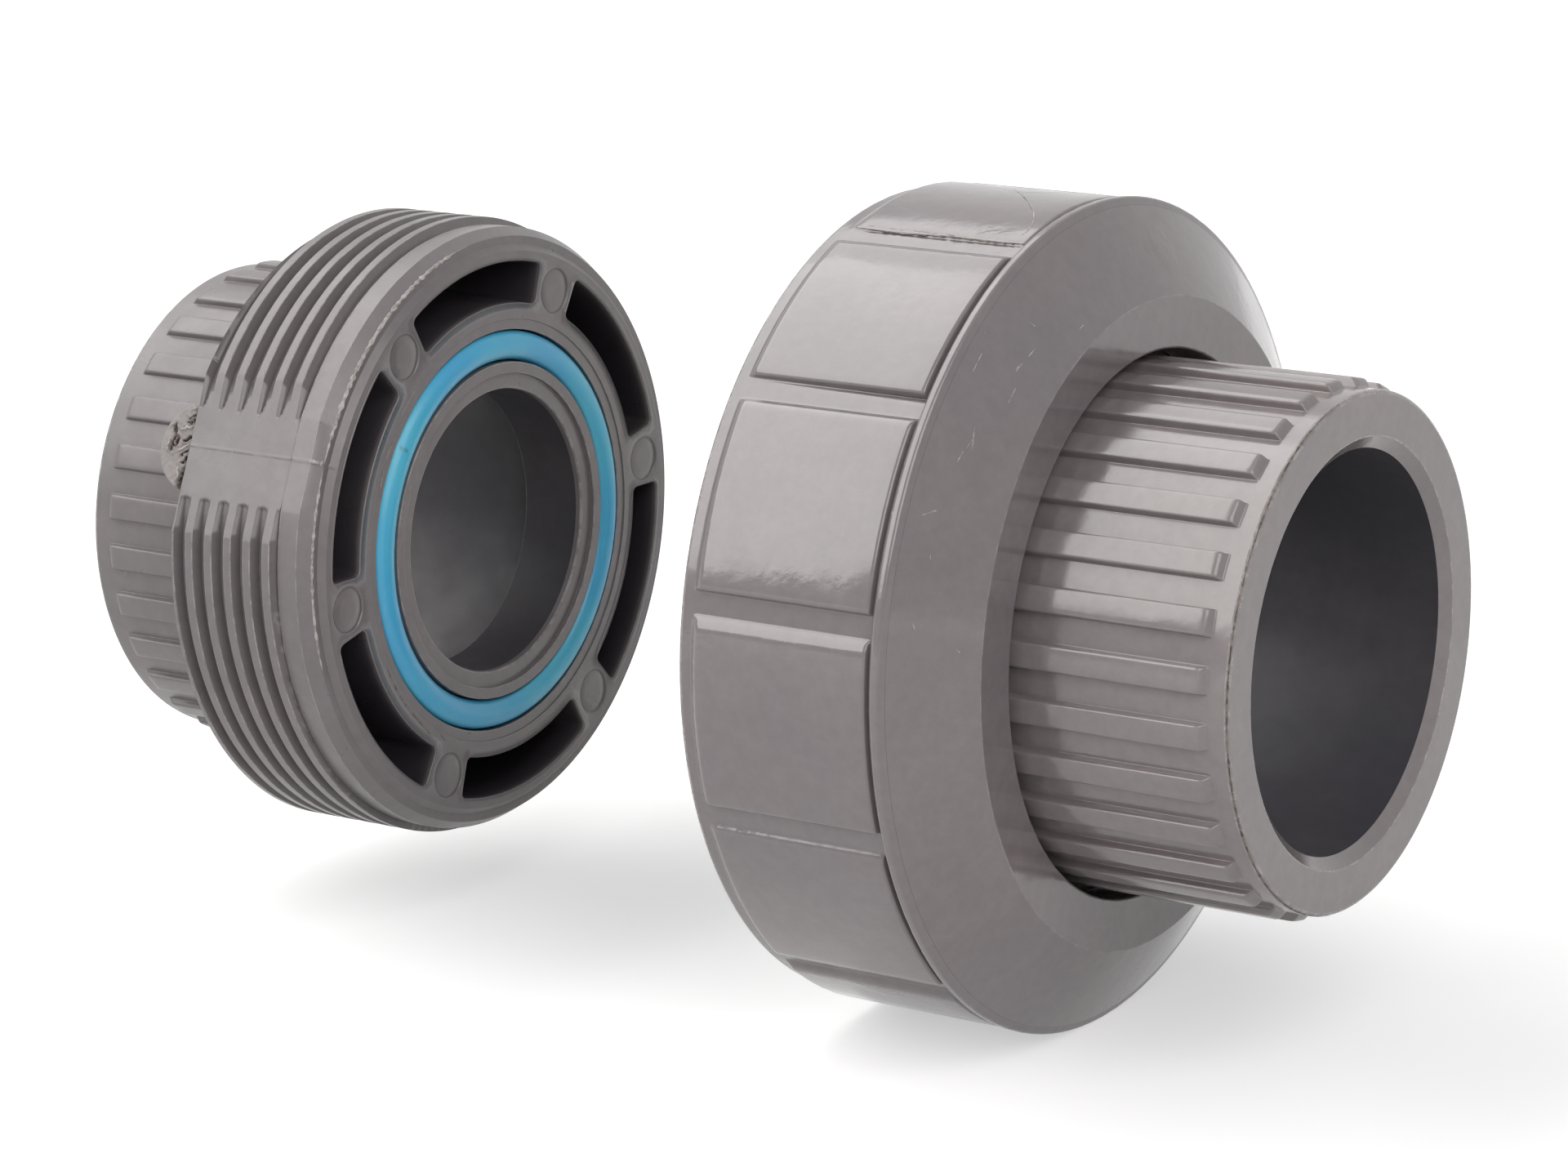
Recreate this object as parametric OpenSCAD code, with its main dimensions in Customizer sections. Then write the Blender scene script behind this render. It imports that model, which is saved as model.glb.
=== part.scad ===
// Socket union for solvent-cement pipe, standing open: a threaded half with its seal, and a plain half with the nut.
// Millimetres. The flow axis is X. X = 0 is the pipe stop of the threaded half; the plain half opens toward +X.
// Angles are about X, from +Y toward +Z.

/* [Pipe and sockets] */
// outside diameter of the pipe that both sockets take
pipe_d = 48.3; // [40:0.1:60]
// clearance between pipe and socket, on the radius
socket_fit = 0.1; // [0.05:0.05:0.4]
// depth of each socket
socket_depth = 33; // [28:0.5:40]
// wall round each socket
socket_wall = 6.95; // [5:0.05:9]
// ledge that stops the pipe
stop_w = 5.65; // [3:0.05:8]
// flare at each socket mouth, on the radius
mouth_flare = 1.5; // [0.8:0.1:2.5]
// depth of the flare
mouth_depth = 1.2; // [0.6:0.1:2]
// broken edge on the hubs and the flange
edge = 0.5; // [0.2:0.1:1]

/* [Grip ribs] */
// ribs round each hub
rib_count = 30; // [18:2:36]
// share of the pitch that a rib fills
rib_share = 0.49; // [0.3:0.01:0.65]
// rib height on the plain end
rib_h = 1.55; // [0.6:0.05:2.2]
// rib height on the threaded end
rib_h_threaded = 1; // [0.5:0.05:1.8]
// plain band between rib ends and hub end
rib_margin = 2.7; // [1.5:0.1:5]
// slope at each rib end
rib_slope = 1.1; // [0.5:0.1:2]
// turn of the rib pattern on the plain end
rib_turn = 5.5; // [0:0.1:12]
// turn of the rib pattern on the threaded end
rib_turn_threaded = 2.9; // [0:0.1:12]

/* [Seal] */
// thickness of the ring
seal_d = 3.9; // [3:0.1:5]
// how far the ring stands proud of the face
seal_proud = 0.6; // [0.3:0.05:0.9]
// side clearance in the groove
groove_gap = 0.15; // [0.1:0.05:0.3]
// lip between the passage and the groove
lip_w = 3.6; // [2.5:0.1:5]
// part of the lip that is stepped down
lip_step_w = 2.1; // [1:0.1:2.2]
// depth of that step
lip_step_h = 0.6; // [0.3:0.1:1.2]

/* [Threaded end] */
// pipe stop to sealing face
seat_l = 9.8; // [8:0.1:14]
// machined ring round the groove
seat_ring_w = 1.4; // [0.8:0.1:2]
// how far that ring is cut back
seat_ring_h = 0.2; // [0.1:0.05:0.4]
// face left between that ring and the pockets
face_w = 2.1; // [1.5:0.1:4]
// core-out pockets in the face
pocket_count = 6; // [4:1:8]
// pocket width across the radius
pocket_w = 5.4; // [3:0.1:7]
// pocket depth
pocket_depth = 15; // [8:0.5:18]
// angle of the bridge between two pockets
bridge_deg = 13.5; // [10:0.5:24]
// turn of the pocket pattern
pocket_turn = 6.3; // [0:0.1:60]
// wall between pockets and thread root
rim_wall = 3.8; // [3:0.1:6]
// plain collar in front of the thread
collar_l = 5.6; // [4:0.1:8]
// collar height over the thread root
collar_h = 0.5; // [0:0.05:0.5]
// length of the long front bevel
bevel_l = 1.7; // [1:0.1:2.5]
// drop of the long front bevel
bevel_h = 1.1; // [0.6:0.1:1.6]
// short bevel at the face
nose = 0.85; // [0.4:0.05:1.2]
// mould parting angle, where both flats lie
parting_deg = 156; // [0:1:180]
// depth of the flats below the thread crest
flat_depth = 1.35; // [1.2:0.05:1.6]
// angle over which a flat closes the thread grooves
land_deg = 16.6; // [8:0.2:18]
// radius of the ejector marks on the bridges
ejector_r = 3; // [1.2:0.05:3.2]
// depth of those marks
ejector_h = 0.2; // [0.1:0.05:0.5]
// radius of the moulding gate pad behind the thread
gate_r = 5.8; // [3:0.1:7]
// how far the top of the gate pad lies below the flat
gate_drop = 1.15; // [0.6:0.05:3]

/* [Thread] */
// pitch of the right-hand thread
thread_pitch = 3.1; // [2.8:0.05:4]
// depth of the outside thread
thread_depth = 1.4; // [1:0.05:1.5]
// flat on the crest
crest_w = 1.2; // [0.6:0.05:1.25]
// slope of each flank from square
flank_deg = 20; // [15:1:25]
// length of the thread on the threaded end
thread_l = 16.3; // [12:0.1:20]
// clearance over the crest, on the radius
crest_gap = 0.4; // [0.3:0.05:0.5]
// clearance at the root, on the radius
root_gap = 0.8; // [0.8:0.05:0.9]
// clearance along the axis, each side
side_gap = 0.25; // [0.2:0.01:0.3]
// turn of the thread start
thread_turn = 0; // [-180:1:180]

/* [Plain end] */
// pipe stop to flange face
web_l = 8.2; // [8:0.1:12]
// flange thickness
flange_t = 7.2; // [5:0.1:8]
// clearance between the flange and the nut thread, on the radius
flange_gap = 0.35; // [0.3:0.05:0.8]
// root fillet drawn as a cone where the hub meets the flange
root_cone = 0.5; // [0.3:0.1:0.5]

/* [Union nut] */
// wall over the nut thread
nut_wall = 9.1; // [6:0.1:12]
// thickness of the front wall
nut_front = 6.5; // [5:0.1:9]
// clearance between the nut hole and the ribs, on the radius
hole_gap = 0.6; // [0.4:0.05:1]
// gap between nut shoulder and flange
shoulder_gap = 0.3; // [0.25:0.05:0.4]
// length of the nut thread
nut_thread_l = 20.5; // [16:0.5:24]
// flat ring round the nut hole
ring_w = 6.4; // [4:0.1:9]
// raised grip panels
panel_count = 12; // [8:1:16]
// panel height over the nut
panel_h = 0.8; // [0.4:0.05:1.4]
// angle of the strip between two panels
strip_deg = 3.3; // [2:0.1:5]
// turn of the panel pattern
panel_turn = 19.2; // [0:0.1:30]
// plain margin behind the panels
back_margin = 2.2; // [1.5:0.1:4]
// width of the front bead
bead_w = 1.3; // [0.8:0.1:2]
// height of the front bead
bead_h = 1; // [0.6:0.05:1.6]
// groove between bead and panels
bead_groove = 0.7; // [0.4:0.1:1.2]
// bevel at the thread mouth
nut_mouth = 1.4; // [1:0.1:2]
// relief behind the nut thread, on the radius
relief_gap = 0.3; // [0.2:0.05:0.6]

/* [Pose] */
// opening between the seal and the flange
open_gap = 82.6; // [60:0.1:110]

/* [Hidden] */
$fn = 120;
socket_r = pipe_d / 2 + socket_fit;
hub_r = socket_r + socket_wall;
passage_r = socket_r - stop_w;
groove_in = passage_r + lip_w;
groove_out = groove_in + seal_d + 2 * groove_gap;
seal_mid = (groove_in + groove_out) / 2;
seal_crest = seat_l + seal_proud;
groove_floor = seal_crest - seal_d;
pocket_in = groove_out + seat_ring_w + face_w;
pocket_out = pocket_in + pocket_w;
root_r = pocket_out + rim_wall;
crest_r = root_r + thread_depth;
collar_r = root_r + collar_h;
core_sink = 0.6;
core_r = root_r - core_sink;
band_front = seat_l - collar_l;
band_back = band_front - thread_l;
flat_at = crest_r - flat_depth;
first_crest = 0.5;
thread_zero = thread_pitch * (first_crest + thread_turn / 360);
nut_crest_r = root_r + root_gap;
nut_root_r = crest_r + crest_gap;
relief_r = nut_root_r + relief_gap;
nut_r = nut_root_r + nut_wall;
flange_r = nut_crest_r - flange_gap;
flange_face = seal_crest + open_gap;
flange_back = flange_face + flange_t;
plain_stop = flange_face + web_l;
plain_tip = plain_stop + socket_depth;
shoulder = flange_back + shoulder_gap;
nut_tip = shoulder + nut_front;
nut_back = flange_face - nut_thread_l - shoulder_gap;
hole_r = hub_r + rib_h + hole_gap;
ring_r = hole_r + ring_w;
relief_start = nut_back + nut_thread_l;
rib_pitch = 360 / rib_count;
thread_steps = 60;
bore_sink = 0.4;
cut_over = 1;

pvc = [0.5, 0.48, 0.48];
rubber = [0.27, 0.62, 0.74];

// lays a shape that was drawn round Z along X
module along_x() {
    rotate([90, 0, 90]) children();
}

// one turned ring between two radii and two stations
module ring(r_in, r_out, z0, z1) {
    rotate_extrude() translate([r_in, z0]) square([r_out - r_in, z1 - z0]);
}

// a helical screw: corners of one pitch, repeated, with a ramp at each end that is trimmed off later
function corner_r(j, low, high) = (j == 0 || j == 3) ? low : high;
function corner_z(j, top_w, run) = (j < 2 ? -1 : 1) * (top_w / 2 + ((j == 0 || j == 3) ? run : 0));
function corner_at(i, q, z0, low, high, top_w, run) =
    let (a = 360 * i / thread_steps, j = q % 4, r = corner_r(j, low, high))
    [r * cos(a), r * sin(a), z0 + thread_pitch * (a / 360 + floor(q / 4)) + corner_z(j, top_w, run)];

module screw(z0, turns, low, high, top_w, run) {
    last = 4 * turns;
    points = concat(
        [for (q = [0 : last + 4]) corner_at(0, q, z0, low, high, top_w, run)],
        [for (i = [1 : thread_steps - 1]) for (q = [0 : last]) corner_at(i, q, z0, low, high, top_w, run)],
        [[0, 0, z0 - thread_pitch], [0, 0, z0 + thread_pitch * (turns + 2)]]
    );
    function at(i, q) = i == 0 ? q : i == thread_steps ? q + 4 : last + 5 + (i - 1) * (last + 1) + q;
    bottom = len(points) - 2;
    top = len(points) - 1;
    level = [for (i = [0 : thread_steps - 1]) for (q = [1 : 2 : last - 1])
        [at(i, q), at(i, q + 1), at(i + 1, q + 1), at(i + 1, q)]];
    slope_a = [for (i = [0 : thread_steps - 1]) for (q = [0 : 2 : last - 1])
        [at(i, q), at(i, q + 1), at(i + 1, q + 1)]];
    slope_b = [for (i = [0 : thread_steps - 1]) for (q = [0 : 2 : last - 1])
        [at(i, q), at(i + 1, q + 1), at(i + 1, q)]];
    floor_fan = [for (i = [0 : thread_steps - 1]) [bottom, at(i, 0), at(i + 1, 0)]];
    roof_fan = [for (i = [0 : thread_steps - 1]) [top, at(i + 1, last), at(i, last)]];
    floor_step = [[bottom, 4, 3, 2, 1, 0]];
    roof_step = [[top, last, last + 1, last + 2, last + 3, last + 4]];
    polyhedron(points, concat(level, slope_a, slope_b, floor_fan, roof_fan, floor_step, roof_step));
}

// grip ribs: short turned segments with a sloped outer end
module ribs(tip, root, height, dir, turn) {
    slope_end = tip + dir * (rib_margin + rib_slope);
    slope_root = tip + dir * (rib_margin - edge * rib_slope / height);
    for (i = [0 : rib_count - 1]) {
        rotate([0, 0, turn + rib_pitch * (i - rib_share / 2)])
            rotate_extrude(angle = rib_pitch * rib_share)
                polygon([
                    [hub_r - edge, slope_root],
                    [hub_r + height, slope_end],
                    [hub_r + height, root],
                    [hub_r - edge, root]
                ]);
    }
}

// outline of the threaded end, without its thread
module threaded_profile() {
    polygon([
        [socket_r + mouth_flare, -socket_depth],
        [hub_r - edge, -socket_depth],
        [hub_r, -socket_depth + edge],
        [hub_r, band_back],
        [core_r, band_back],
        [core_r, band_front],
        [collar_r, band_front],
        [collar_r, seat_l - nose - bevel_l],
        [collar_r - bevel_h, seat_l - nose],
        [collar_r - bevel_h - 2 * edge, seat_l - nose],
        [collar_r - bevel_h - 2 * edge - nose, seat_l],
        [groove_out + seat_ring_w, seat_l],
        [groove_out + seat_ring_w, seat_l - seat_ring_h],
        [groove_out, seat_l - seat_ring_h],
        [groove_out, groove_floor],
        [groove_in, groove_floor],
        [groove_in, seat_l],
        [passage_r + lip_step_w, seat_l],
        [passage_r + lip_step_w, seat_l - lip_step_h],
        [passage_r, seat_l - lip_step_h],
        [passage_r, 0],
        [socket_r, 0],
        [socket_r, -socket_depth + mouth_depth]
    ]);
}

// the moulded pockets that keep the wall even
module pockets() {
    for (i = [0 : pocket_count - 1]) {
        rotate([0, 0, pocket_turn + bridge_deg / 2 + i * 360 / pocket_count])
            rotate_extrude(angle = 360 / pocket_count - bridge_deg)
                translate([pocket_in, seat_l - pocket_depth])
                    square([pocket_w, pocket_depth + cut_over]);
    }
}

// the two flats that the mould leaves across the thread
module flats() {
    for (side = [0, 180]) {
        rotate([0, 0, parting_deg + side])
            translate([flat_at, -crest_r, band_back - cut_over])
                cube([crest_r, 2 * crest_r, thread_l + collar_l + cut_over]);
    }
}

// round marks that the ejector pins leave on the bridges
module ejector_marks() {
    for (i = [0 : pocket_count - 1]) {
        rotate([0, 0, pocket_turn + i * 360 / pocket_count])
            translate([(pocket_in + pocket_out) / 2, 0, seat_l - ejector_h])
                cylinder(r = ejector_r, h = ejector_h + cut_over);
    }
}

module gate_pad() {
    rotate([0, 0, parting_deg])
        translate([hub_r - edge, 0, band_back])
            rotate([0, 90, 0])
                cylinder(r = gate_r, h = flat_at - gate_drop - hub_r + edge);
}

// the full bands that close the thread grooves under the flats
module lands() {
    for (side = [0, 180]) {
        rotate([0, 0, parting_deg + side - land_deg / 2])
            rotate_extrude(angle = land_deg)
                translate([core_r - 2 * cut_over, band_back - cut_over])
                    square([crest_r - core_r + 2 * cut_over, thread_l + 2 * cut_over]);
    }
}

module outer_thread() {
    run = thread_depth * tan(flank_deg);
    turns = ceil(thread_l / thread_pitch) + 2;
    start = thread_zero + thread_pitch * (floor((band_back - thread_zero) / thread_pitch) - 1);
    intersection() {
        union() {
            screw(start, turns, root_r, crest_r, crest_w, run);
            lands();
        }
        ring(core_r - cut_over, crest_r + thread_pitch, band_back, band_front);
    }
}

module threaded_end() {
    color(pvc) along_x() {
        difference() {
            union() {
                rotate_extrude() threaded_profile();
                outer_thread();
                ribs(-socket_depth, band_back + edge, rib_h_threaded, 1, rib_turn_threaded);
                gate_pad();
            }
            pockets();
            ejector_marks();
            flats();
        }
    }
}

module o_ring() {
    color(rubber) along_x()
        rotate_extrude()
            translate([seal_mid, seal_crest - seal_d / 2])
                circle(r = seal_d / 2, $fn = 48);
}

module plain_profile() {
    polygon([
        [passage_r, flange_face],
        [flange_r - edge, flange_face],
        [flange_r, flange_face + edge],
        [flange_r, flange_back - edge],
        [flange_r - edge, flange_back],
        [hub_r + root_cone, flange_back],
        [hub_r, flange_back + root_cone],
        [hub_r, plain_tip - edge],
        [hub_r - edge, plain_tip],
        [socket_r + mouth_flare, plain_tip],
        [socket_r, plain_tip - mouth_depth],
        [socket_r, plain_stop],
        [passage_r, plain_stop]
    ]);
}

module plain_end() {
    color(pvc) along_x() {
        rotate_extrude() plain_profile();
        ribs(plain_tip, flange_back - edge, rib_h, -1, rib_turn);
    }
}

// outline of the nut, with a plain bore where the thread is cut
module nut_profile() {
    bore = nut_crest_r - bore_sink;
    polygon([
        [nut_crest_r + nut_mouth, nut_back],
        [nut_r - edge, nut_back],
        [nut_r, nut_back + edge],
        [nut_r, shoulder - bead_w],
        [nut_r + bead_h, shoulder - bead_w],
        [nut_r + bead_h, shoulder - edge],
        [nut_r, shoulder],
        [ring_r, nut_tip],
        [hole_r + edge, nut_tip],
        [hole_r, nut_tip - edge],
        [hole_r, shoulder],
        [relief_r, shoulder],
        [relief_r, relief_start],
        [bore, relief_start],
        [bore, nut_back + nut_mouth]
    ]);
}

module panels() {
    panel_end = shoulder - bead_w - bead_groove;
    for (i = [0 : panel_count - 1]) {
        rotate([0, 0, panel_turn + strip_deg / 2 + i * 360 / panel_count])
            rotate_extrude(angle = 360 / panel_count - strip_deg)
                polygon([
                    [nut_r - edge, nut_back + back_margin - edge],
                    [nut_r + panel_h, nut_back + back_margin + panel_h],
                    [nut_r + panel_h, panel_end - panel_h],
                    [nut_r - edge, panel_end + edge]
                ]);
    }
}

module inner_thread() {
    reach = (nut_root_r - crest_r) * tan(flank_deg);
    run = (nut_root_r - nut_crest_r) * tan(flank_deg);
    turns = ceil(nut_thread_l / thread_pitch) + 3;
    start = thread_zero + thread_pitch * (floor((nut_back - thread_zero) / thread_pitch) - 2);
    intersection() {
        screw(start, turns, nut_crest_r, nut_root_r, crest_w + 2 * side_gap - 2 * reach, run);
        translate([0, 0, nut_back - cut_over]) cylinder(r = nut_r, h = nut_thread_l + cut_over + edge);
    }
}

module union_nut() {
    color(pvc) along_x() {
        difference() {
            union() {
                rotate_extrude() nut_profile();
                panels();
            }
            inner_thread();
        }
    }
}

threaded_end();
o_ring();
plain_end();
union_nut();
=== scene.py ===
"""Looks of the open socket union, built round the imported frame. Lengths are in mm until a mesh is made."""

import math

import bmesh
import bpy
import numpy as np
from mathutils import Matrix, Vector
from mathutils.geometry import delaunay_2d_cdt


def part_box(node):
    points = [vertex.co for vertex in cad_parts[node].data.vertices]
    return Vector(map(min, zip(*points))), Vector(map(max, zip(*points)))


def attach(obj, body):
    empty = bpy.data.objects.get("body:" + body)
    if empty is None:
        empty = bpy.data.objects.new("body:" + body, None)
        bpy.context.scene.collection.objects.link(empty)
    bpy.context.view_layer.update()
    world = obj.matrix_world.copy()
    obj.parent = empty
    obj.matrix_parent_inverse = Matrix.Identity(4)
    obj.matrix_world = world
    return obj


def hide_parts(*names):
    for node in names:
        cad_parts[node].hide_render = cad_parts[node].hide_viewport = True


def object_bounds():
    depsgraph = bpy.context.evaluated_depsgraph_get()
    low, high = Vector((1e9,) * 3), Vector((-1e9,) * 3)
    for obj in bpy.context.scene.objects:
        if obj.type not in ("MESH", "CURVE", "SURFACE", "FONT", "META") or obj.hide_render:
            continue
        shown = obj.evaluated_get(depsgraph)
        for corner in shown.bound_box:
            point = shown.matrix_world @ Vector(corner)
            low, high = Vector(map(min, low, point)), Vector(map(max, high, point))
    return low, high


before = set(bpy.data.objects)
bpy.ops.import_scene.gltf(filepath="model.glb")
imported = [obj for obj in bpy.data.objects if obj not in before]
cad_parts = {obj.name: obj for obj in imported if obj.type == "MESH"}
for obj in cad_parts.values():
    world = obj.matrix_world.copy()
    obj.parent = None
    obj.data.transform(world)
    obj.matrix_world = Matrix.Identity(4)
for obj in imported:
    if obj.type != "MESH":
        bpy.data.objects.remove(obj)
cad_box = [list(corner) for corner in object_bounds()]

# stations along X and radii of the threaded half; both halves share the socket, hub and passage
SOCKET_R = 24.25
HUB_R = 31.2
PASSAGE_R = 18.6
MOUTH_FLARE = 1.5
MOUTH_DEPTH = 1.2
BACK = -33.0
STOP = 0.0
SEAT = 9.8
BAND_BACK = -12.1
BAND_FRONT = 4.2
COLLAR_R = 39.6
FACE_OUT = 36.0
FACE_IN = 28.6
POCKET_IN = 29.9
POCKET_OUT = 35.3
POCKET_TURN = 6.3
BRIDGE = 13.5
EJECTOR_R = 3.0
EJECTOR_AT = 32.6
GATE_R = 5.8
GATE_TOP = 38.0
SEAL_AT = 8.45
SEAL_MID_R = 24.3
SEAL_R = 1.95

# the flats: their distance from the axis, the mould's parting angle and how far they turn from it
FLAT = 39.15
PARTING = 156.0
LEAN = 1.0

# thread of both pieces
PITCH = 3.1
CREST_R = 40.5
ROOT_R = 39.1
CREST_W = 1.2
FLANK = math.tan(math.radians(20))
FIRST = 0.5 * PITCH
NUT_LOW = 39.9
NUT_HIGH = 40.9
SIDE_GAP = 0.25
END_WALL_R = NUT_HIGH + 0.05

# plain end and nut
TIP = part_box("plain_end")[1].x * 1000
FLANGE = TIP - 41.2
FLANGE_R = 39.55
FLANGE_BACK = FLANGE + 7.2
SHOULDER = FLANGE + 7.5
NUT_BACK = FLANGE - 20.8
NUT_TIP = SHOULDER + 6.5
NUT_R = 50.0
HOLE_R = 33.35
RING_R = 39.75
RELIEF_R = 41.2
THREAD_MOUTH = NUT_BACK + 1.4
THREAD_END = NUT_BACK + 20.5
BEVEL_FOOT = NUT_BACK + 0.3
PANEL_H = 0.8
PANEL_TURN = 19.2
BEAD_H = 0.98

# ribs of both hubs
RIB_HALF = 2.94
THREADED_RIB_H = 0.85
THREADED_RIB_TURN = 2.9
PLAIN_RIB_H = 1.1
PLAIN_RIB_TURN = 5.5


# shapes

def rounded(corners, steps=3, hold=0.07):
    """Rounds the corners of an outline in (x, r[, radius]); the outside lies on the left of its way.

    Rows are x, r and edge: 1 on a rounded outer corner, -1 in an inner one, where shade is painted later, 0
    elsewhere."""
    corners = [(*corner, 0.0)[:3] for corner in corners]
    rows = [(*corners[0][:2], 0.0)]
    for before, corner, after in zip(corners, corners[1:], corners[2:]):
        start, middle, end = (np.array(point[:2], float) for point in (before, corner, after))
        length_in = np.linalg.norm(middle - start)
        length_out = np.linalg.norm(end - middle)
        way_in = (middle - start) / length_in
        way_out = (end - middle) / length_out
        turn = math.acos(max(-1.0, min(1.0, float(way_in @ way_out))))
        if corner[2] <= 0 or turn < 0.02:
            rows.append((*middle, 0.0))
            continue
        cut = min(corner[2] * math.tan(turn / 2), 0.42 * length_in, 0.42 * length_out)
        side = 1 if way_in[0] * way_out[1] - way_in[1] * way_out[0] > 0 else -1
        begin = middle - way_in * cut
        centre = begin + cut / math.tan(turn / 2) * side * np.array([-way_in[1], way_in[0]])
        arm = begin - centre
        rows.append((*(middle - way_in * (cut + min(hold, 0.5 * (0.5 * length_in - cut)))), 0.0))
        for k in range(steps + 1):
            angle = side * turn * k / steps
            along = arm[0] * math.cos(angle) - arm[1] * math.sin(angle)
            across = arm[0] * math.sin(angle) + arm[1] * math.cos(angle)
            rows.append((*(centre + [along, across]), -float(side)))
        rows.append((*(middle + way_out * (cut + min(hold, 0.5 * (0.5 * length_out - cut)))), 0.0))
    rows.append((*corners[-1][:2], 0.0))
    return np.array(rows)


def smooth_step(values, low, high):
    """0 below low, 1 above high, and a smooth rise between."""
    share = np.clip((values - low) / (high - low), 0, 1)
    return share * share * (3 - 2 * share)


def hump(values, middle, half):
    """1 at middle, falling to 0 at half beside it."""
    return np.clip(1 - np.abs(values - middle) / half, 0, 1)


def bell(values, middle, width):
    """A bell curve of height 1."""
    return np.exp(-((values - middle) / width) ** 2)


def wobble(seed, *coords):
    """A smooth pseudo-random value about -1 to 1 from a few fixed waves."""
    random = np.random.RandomState(seed)
    total = 0.0
    for _ in range(7):
        phase = random.rand() * 6.28
        for coord in coords:
            phase = phase + np.asarray(coord) * random.uniform(0.5, 1.6) * random.choice([-1, 1])
        total = total + np.sin(phase)
    return total / 3.2


def polar(x, deg, r):
    """Points at x, from their angles and radii."""
    angle = np.radians(deg)
    return np.stack([0 * angle + x, r * np.cos(angle), r * np.sin(angle)], -1)


def quads(rows, columns, closed=False):
    """The faces between rows of points; closed also joins the end of each row to its start."""
    row = np.arange(rows - 1)[:, None] * columns
    column = np.arange(columns if closed else columns - 1)[None, :]
    beside = (column + 1) % columns
    faces = [row + column, row + beside, row + columns + beside, row + columns + column]
    return np.stack(faces, -1).reshape(-1, 4)


def stacked(blocks, deg):
    """Blocks of rows as (x, r, edge), one behind the other in one grid."""
    full = [np.broadcast_arrays(x, r, deg[None, :], edge) for x, r, edge in blocks]
    return [np.concatenate([block[k] for block in full]) for k in range(4)]


class Shell:
    """Collects points and faces round the X axis into one mesh.

    Points have an edge value, 1 on a worn corner and -1 in an inner corner, where shade is painted, and a
    value for painted shade in hollows, 1 where it is darkest."""

    def __init__(self):
        self.points = []
        self.faces = []
        self.edge = []
        self.hollow_shade = []
        self.count = 0

    def add(self, points, faces, edge, hollow_shade=0.0):
        self.points.append(points)
        self.edge.append(np.broadcast_to(np.asarray(edge, float), (len(points),)))
        self.hollow_shade.append(np.broadcast_to(np.asarray(hollow_shade, float), (len(points),)))
        self.faces += [tuple(int(index) + self.count for index in face) for face in faces]
        self.count += len(points)

    def grid(self, x, r, deg, edge=0.0, closed=True, hollow_shade=0.0):
        """Rows of points that run round the axis."""
        x, r, deg, edge, hollow_shade = np.broadcast_arrays(x, r, deg, edge, hollow_shade)
        points = polar(x, deg, r).reshape(-1, 3)
        self.add(points, quads(*x.shape, closed), edge.reshape(-1), hollow_shade.reshape(-1))

    def turned(self, outline, deg, hollow_shade=0.0):
        """An outline turned round the axis."""
        self.grid(outline[:, :1], outline[:, 1:2], deg[None, :], outline[:, 2:3], hollow_shade=hollow_shade)

    def loops(self, loops, edges, hollow_shades=0.0):
        """Loops of equal count, one inside the next; one face closes the last."""
        count = len(loops[0])
        cap = [(len(loops) - 1) * count + j for j in range(count)]
        faces = [*quads(len(loops), count, True), cap]
        hollow_shades = np.repeat(np.broadcast_to(hollow_shades, len(loops)), count)
        self.add(np.concatenate(loops), faces, np.repeat(edges, count), hollow_shades)

    def make(self, name, material, body, replaces=(), weld=0.002):
        """Makes the object, welds points that meet, and tells the frame what it rides on and replaces."""
        mesh = bpy.data.meshes.new(name)
        mesh.from_pydata((np.concatenate(self.points) * 0.001).tolist(), [], self.faces)
        for key, values in (("edge", self.edge), ("hollow_shade", self.hollow_shade)):
            layer = mesh.attributes.new(key, "FLOAT", "POINT")
            layer.data.foreach_set("value", np.concatenate(values).astype(np.float32))
        if weld:
            edit = bmesh.new()
            edit.from_mesh(mesh)
            bmesh.ops.remove_doubles(edit, verts=edit.verts, dist=weld * 0.001)
            bmesh.ops.dissolve_degenerate(edit, edges=edit.edges, dist=1e-7)
            edit.to_mesh(mesh)
            edit.free()
        mesh.polygons.foreach_set("use_smooth", [True] * len(mesh.polygons))
        mesh.update()
        piece = bpy.data.objects.new(name, mesh)
        bpy.context.scene.collection.objects.link(piece)
        mesh.materials.append(material)
        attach(piece, body)
        if replaces:
            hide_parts(*replaces)


# materials

WORN = (0.50, 0.475, 0.455)
# painted shade for inner corners, creases and the feet of ribs and panels
PAINTED_CREASE_SHADE = (0.045, 0.04, 0.042)
SCRATCHED = (0.46, 0.44, 0.43)
SPECKLED = (0.5, 0.48, 0.46)
PITTED = (0.05, 0.045, 0.045)
# painted shade for hollows, multiplied into the colour
PAINTED_HOLLOW_SHADE = (0.21, 0.205, 0.235)


class Nodes:
    """Short forms for the shader nodes of a material or world."""

    def __init__(self, owner):
        owner.use_nodes = True
        self.owner = owner
        self.tree = owner.node_tree

    def node(self, kind, inputs=(), **settings):
        """A new node; its inputs get plain values or outputs of other nodes."""
        node = self.tree.nodes.new(kind)
        for name, value in settings.items():
            setattr(node, name, value)
        for name, value in dict(inputs).items():
            self.put(node.inputs[name], value)
        return node

    def link(self, output, socket):
        self.tree.links.new(output, socket)

    def put(self, socket, value):
        """Gives a socket a plain value or links a node's output to it."""
        if isinstance(value, bpy.types.NodeSocket):
            self.link(value, socket)
        else:
            socket.default_value = value

    def math(self, operation, first, second=0.0, clamp=False):
        node = self.node("ShaderNodeMath", {0: first, 1: second}, operation=operation, use_clamp=clamp)
        return node.outputs[0]

    def ramp(self, value, low, high, out_low=0.0, out_high=1.0):
        """A smooth rise from out_low to out_high while value goes from low to high."""
        inputs = {"Value": value, "From Min": low, "From Max": high, "To Min": out_low, "To Max": out_high}
        return self.node("ShaderNodeMapRange", inputs, interpolation_type="SMOOTHSTEP").outputs["Result"]


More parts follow.
